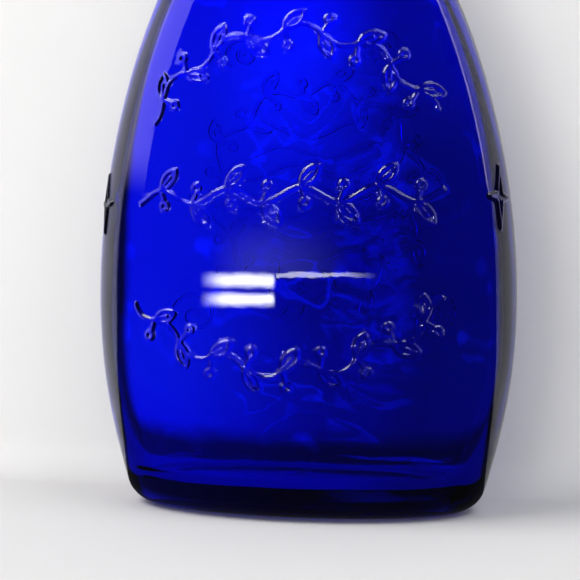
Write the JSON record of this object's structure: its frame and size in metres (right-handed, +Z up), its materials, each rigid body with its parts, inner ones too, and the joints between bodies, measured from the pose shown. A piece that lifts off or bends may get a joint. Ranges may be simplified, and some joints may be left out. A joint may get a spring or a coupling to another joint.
{
  "type": "glass flask bottle",
  "caption": "Flattened barrel-shaped cobalt blue glass bottle with raised ornament, a short round neck and a tapered cork that lifts out.",
  "frame": {"origin": "middle of the foot ring, on the surface that the bottle stands on", "axes": "+Z up through the neck, -Y out of the broad ornamented front, +X across the width"},
  "size_m": [0.129, 0.062, 0.217],
  "materials": {
    "cobalt_glass": "glossy moulded cobalt blue glass",
    "cork": "natural cork, matt and pitted"
  },
  "bodies": {
    "bottle_body": {"bottle": "cobalt_glass"},
    "stopper": {"cork_stopper": "cork"}
  },
  "joints": [
    {"name": "cork_lift", "type": "slide", "parent": "bottle_body", "child": "stopper", "axis": [0, 0, 1], "range_m": [0, 0.045]}
  ]
}
